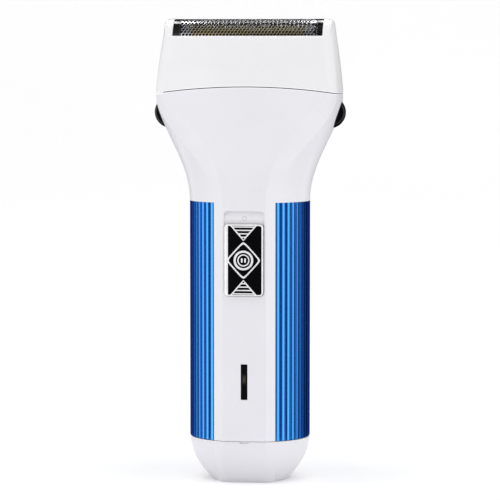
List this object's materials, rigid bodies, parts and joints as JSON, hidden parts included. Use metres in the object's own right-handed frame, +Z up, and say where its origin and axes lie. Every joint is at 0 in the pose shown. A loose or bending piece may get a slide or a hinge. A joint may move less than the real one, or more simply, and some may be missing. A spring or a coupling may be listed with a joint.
{
  "type": "electric foil shaver",
  "caption": "Hand-held electric foil shaver with fluted side grips, a sliding power switch, sprung release buttons and a lift-off foil head over an oscillating cutter.",
  "frame": {"origin": "middle of the face it stands on, at the mouth of the charging socket", "axes": "+Z up along the length to the foil, -Y out of the front panel with the switch, +X to the right of someone who looks at the front"},
  "size_m": [0.066, 0.0366, 0.1585],
  "materials": {
    "white_plastic": "satin moulded plastic",
    "white_head": "satin moulded plastic",
    "blue_metal": "blue anodised, fluted",
    "black_gloss": "glossy",
    "black_plastic": "satin",
    "window_plastic": "dark tinted",
    "switch_chrome": "bright plated",
    "grey_plastic": "moulded",
    "board_green": "solder mask",
    "led_amber": "diffuse",
    "core_dark": "varnished core",
    "capacitor_sleeve": "sleeved",
    "cell_wrap": "sleeved cell",
    "nickel": "nickel plated",
    "brass": "bright",
    "steel": "bright",
    "magnet_dark": "sintered",
    "bronze": "sintered bearing",
    "acetal": "self-lubricating",
    "rubber_seal": "soft",
    "foil_metal": "electroformed, pierced"
  },
  "bodies": {
    "body": {"front_shell": "white_plastic", "rear_shell": "white_plastic", "right_grip": "blue_metal", "left_grip": "blue_metal", "base_cap": "white_plastic", "inlet_pins": "nickel", "led_window": "window_plastic", "power_switch": "black_plastic", "circuit_board": "board_green", "charge_led": "led_amber", "charge_transformer": "core_dark", "smoothing_capacitors": "capacitor_sleeve", "board_screws": "steel", "chassis": "grey_plastic", "left_cell": "cell_wrap", "right_cell": "cell_wrap", "cell_tabs": "nickel", "motor_can": "steel", "motor_end_cap": "black_plastic", "motor_magnets": "magnet_dark", "motor_bushes": "bronze", "motor_terminals": "brass", "drive_frame": "grey_plastic", "motor_screws": "steel", "guide_rods": "steel", "top_deck": "grey_plastic", "post_seal": "rubber_seal", "right_release_spring": "steel", "left_release_spring": "steel", "body_screws": "steel"},
    "slide": {"power_slide": "switch_chrome", "slide_carrier": "grey_plastic", "switch_lever": "grey_plastic"},
    "rotor": {"motor_rotor": "steel", "motor_shaft": "steel", "crank": "acetal"},
    "bridge": {"oscillating_bridge": "acetal", "drive_post": "steel", "cutter_spring": "steel"},
    "cutter": {"cutter_carrier": "black_plastic", "cutter_blades": "steel"},
    "head": {"head_frame": "white_head", "foil_cassette": "black_plastic", "shaving_foil": "foil_metal"},
    "right_button": {"right_release_button": "black_gloss"},
    "left_button": {"left_release_button": "black_gloss"}
  },
  "joints": [
    {"name": "power_slide", "type": "slide", "parent": "body", "child": "slide", "axis": [0, 0, 1], "range_m": [0, 0.0041]},
    {"name": "right_release", "type": "slide", "parent": "body", "child": "right_button", "axis": [-1, 0, 0], "range_m": [0, 0.0015], "stiffness_N_per_m": 800, "springref_m": -0.002, "deforming": ["right_release_spring"]},
    {"name": "left_release", "type": "slide", "parent": "body", "child": "left_button", "axis": [1, 0, 0], "range_m": [0, 0.0015], "stiffness_N_per_m": 800, "springref_m": -0.002, "deforming": ["left_release_spring"]},
    {"name": "head_lift", "type": "slide", "parent": "body", "child": "head", "axis": [0, 0, 1], "range_m": [0, 0.03]},
    {"name": "motor_spin", "type": "hinge", "parent": "body", "child": "rotor", "pos_m": [0, 0, 0.09], "axis": [0, 0, 1], "continuous": true},
    {"name": "bridge_stroke", "type": "slide", "parent": "body", "child": "bridge", "axis": [1, 0, 0], "range_m": [-0.0008, 0.0008]},
    {"name": "cutter_float", "type": "slide", "parent": "bridge", "child": "cutter", "axis": [0, 0, 1], "range_m": [-0.001, 0], "stiffness_N_per_m": 600, "springref_m": 0.002, "deforming": ["cutter_spring"]}
  ]
}
